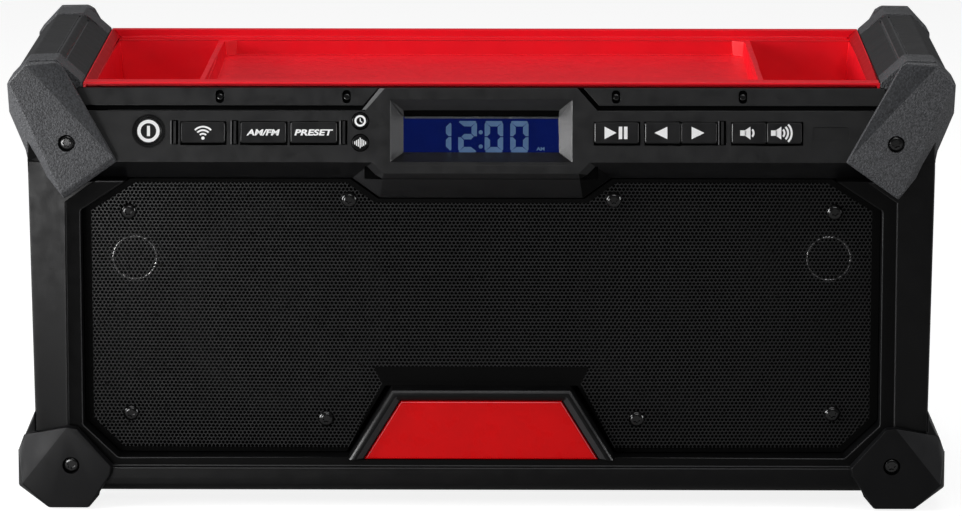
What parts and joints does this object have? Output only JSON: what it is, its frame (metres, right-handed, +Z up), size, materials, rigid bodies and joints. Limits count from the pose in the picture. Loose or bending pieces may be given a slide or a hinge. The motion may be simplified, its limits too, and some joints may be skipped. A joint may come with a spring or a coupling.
{
  "type": "jobsite radio",
  "caption": "Rugged wide jobsite radio with rubber corner bumpers, side carrying bars, open tool tray on top, perforated speaker grille, clock display and key row, slide-on battery pack.",
  "frame": {"origin": "middle of the footprint, on the surface that the feet stand on", "axes": "+X right seen from the front, +Y to the back, +Z up; the speaker front faces -Y"},
  "size_m": [0.405, 0.185, 0.1955],
  "materials": {
    "housing_plastic": "fine spark-eroded moulding texture, near black",
    "fascia_plastic": "smooth satin moulding, near black",
    "bumper_rubber": "pebbled overmoulded rubber, dark grey",
    "handle_plastic": "satin moulding, near black",
    "tray_plastic": "satin moulding, bright red",
    "badge_enamel": "smooth glossy red",
    "grille_steel": "perforated sheet, black powder coat",
    "screw_steel": "black zinc plate",
    "key_plastic": "smooth satin, near black, white printed signs",
    "lens_clear": "clear, slightly smoked",
    "lcd_glass": "backlit deep blue",
    "circuit_board": "solder mask",
    "membrane_rubber": "silicone",
    "speaker_paper": "coated paper cone and rubber surround",
    "speaker_steel": "black pressed steel",
    "magnet_iron": "ferrite and zinc plate",
    "battery_plastic": "textured moulding, black",
    "latch_plastic": "satin moulding, red",
    "terminal_plastic": "smooth moulding, black",
    "socket_steel": "tinned steel"
  },
  "bodies": {
    "housing": {"front_frame": "housing_plastic", "rear_housing": "housing_plastic", "housing_gasket": "membrane_rubber", "control_fascia": "fascia_plastic", "left_top_rail": "fascia_plastic", "right_top_rail": "fascia_plastic", "rail_screws": "screw_steel", "display_lens": "lens_clear", "lcd_panel": "lcd_glass", "keypad_membrane": "membrane_rubber", "control_board": "circuit_board", "grille": "grille_steel", "grille_screws": "screw_steel", "badge_plate": "badge_enamel", "speaker_baffle": "housing_plastic", "tray": "tray_plastic", "left_handle": "handle_plastic", "right_handle": "handle_plastic", "bumper_screws": "screw_steel", "case_screws": "screw_steel", "battery_terminal_block": "terminal_plastic", "flap_hinge_pin": "screw_steel", "usb_socket": "socket_steel", "aux_jack": "terminal_plastic", "dc_jack": "terminal_plastic", "amplifier_board": "circuit_board", "left_woofer_frame": "speaker_steel", "left_woofer_cone": "speaker_paper", "left_woofer_magnet": "magnet_iron", "left_tweeter": "speaker_paper", "front_left_bumper": "bumper_rubber", "front_left_foot": "bumper_rubber", "rear_left_bumper": "bumper_rubber", "rear_left_foot": "bumper_rubber", "right_woofer_frame": "speaker_steel", "right_woofer_cone": "speaker_paper", "right_woofer_magnet": "magnet_iron", "right_tweeter": "speaker_paper", "front_right_bumper": "bumper_rubber", "front_right_foot": "bumper_rubber", "rear_right_bumper": "bumper_rubber", "rear_right_foot": "bumper_rubber"},
    "battery": {"battery_case": "battery_plastic"},
    "left_latch": {"left_battery_latch": "latch_plastic"},
    "right_latch": {"right_battery_latch": "latch_plastic"},
    "flap": {"port_flap": "housing_plastic"},
    "power": {"power_button": "key_plastic"},
    "wireless": {"wireless_button": "key_plastic"},
    "band": {"band_button": "key_plastic"},
    "preset": {"preset_button": "key_plastic"},
    "clock": {"clock_button": "key_plastic"},
    "equalizer": {"equalizer_button": "key_plastic"},
    "play_pause": {"play_pause_button": "key_plastic"},
    "previous": {"previous_button": "key_plastic"},
    "next": {"next_button": "key_plastic"},
    "volume_down": {"volume_down_button": "key_plastic"},
    "volume_up": {"volume_up_button": "key_plastic"}
  },
  "joints": [
    {"name": "battery_slide", "type": "slide", "parent": "housing", "child": "battery", "axis": [0, 0, 1], "range_m": [0, 0.045]},
    {"name": "left_latch_press", "type": "slide", "parent": "battery", "child": "left_latch", "axis": [1, 0, 0], "range_m": [0, 0.002], "stiffness_N_per_m": 800},
    {"name": "right_latch_press", "type": "slide", "parent": "battery", "child": "right_latch", "axis": [-1, 0, 0], "range_m": [0, 0.002], "stiffness_N_per_m": 800},
    {"name": "flap_hinge", "type": "hinge", "parent": "housing", "child": "flap", "pos_m": [0.122, 0.0848, 0.1363], "axis": [1, 0, 0], "range_deg": [0, 90]},
    {"name": "power_press", "type": "slide", "parent": "housing", "child": "power", "axis": [0, 0.9846, -0.175], "range_m": [0, 0.001], "stiffness_N_per_m": 500},
    {"name": "wireless_press", "type": "slide", "parent": "housing", "child": "wireless", "axis": [0, 0.9846, -0.175], "range_m": [0, 0.001], "stiffness_N_per_m": 500},
    {"name": "band_press", "type": "slide", "parent": "housing", "child": "band", "axis": [0, 0.9846, -0.175], "range_m": [0, 0.001], "stiffness_N_per_m": 500},
    {"name": "preset_press", "type": "slide", "parent": "housing", "child": "preset", "axis": [0, 0.9846, -0.175], "range_m": [0, 0.001], "stiffness_N_per_m": 500},
    {"name": "clock_press", "type": "slide", "parent": "housing", "child": "clock", "axis": [0, 0.9846, -0.175], "range_m": [0, 0.001], "stiffness_N_per_m": 500},
    {"name": "equalizer_press", "type": "slide", "parent": "housing", "child": "equalizer", "axis": [0, 0.9846, -0.175], "range_m": [0, 0.001], "stiffness_N_per_m": 500},
    {"name": "play_pause_press", "type": "slide", "parent": "housing", "child": "play_pause", "axis": [0, 0.9846, -0.175], "range_m": [0, 0.001], "stiffness_N_per_m": 500},
    {"name": "previous_press", "type": "slide", "parent": "housing", "child": "previous", "axis": [0, 0.9846, -0.175], "range_m": [0, 0.001], "stiffness_N_per_m": 500},
    {"name": "next_press", "type": "slide", "parent": "housing", "child": "next", "axis": [0, 0.9846, -0.175], "range_m": [0, 0.001], "stiffness_N_per_m": 500},
    {"name": "volume_down_press", "type": "slide", "parent": "housing", "child": "volume_down", "axis": [0, 0.9846, -0.175], "range_m": [0, 0.001], "stiffness_N_per_m": 500},
    {"name": "volume_up_press", "type": "slide", "parent": "housing", "child": "volume_up", "axis": [0, 0.9846, -0.175], "range_m": [0, 0.001], "stiffness_N_per_m": 500}
  ]
}
